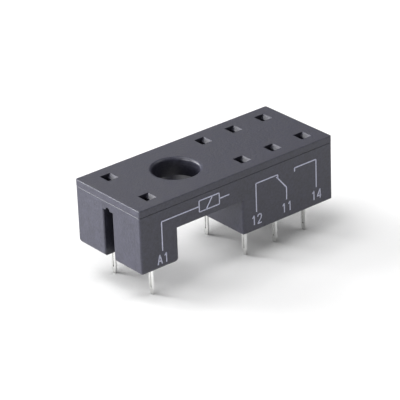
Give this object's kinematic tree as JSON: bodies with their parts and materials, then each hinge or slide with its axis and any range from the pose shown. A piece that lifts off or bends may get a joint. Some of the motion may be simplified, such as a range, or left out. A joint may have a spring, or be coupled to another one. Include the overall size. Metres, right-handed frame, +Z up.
{
  "type": "relay socket for a printed board",
  "caption": "Moulded printed-board relay socket with an arch under its bridge, funnelled contact holes, a round fixing hole and flat solder pins.",
  "frame": {"origin": "below the middle of the housing, in the plane that the pin tips stand on", "axes": "+X from the coil end to the contact end, +Y across the two rows of pins, +Z up out of the relay side"},
  "size_m": [0.031, 0.0126, 0.0133],
  "materials": {
    "housing": "dark grey glass-filled moulding, fine matt texture",
    "terminal": "tin plated, bright"
  },
  "bodies": {
    "root": {"housing_base": "housing", "top_cover": "housing", "coil_terminal_a1": "terminal", "coil_terminal_a2": "terminal", "contact_terminal_11": "terminal", "contact_terminal_12": "terminal", "contact_terminal_14": "terminal", "contact_terminal_21": "terminal", "contact_terminal_22": "terminal", "contact_terminal_24": "terminal"}
  },
  "joints": []
}
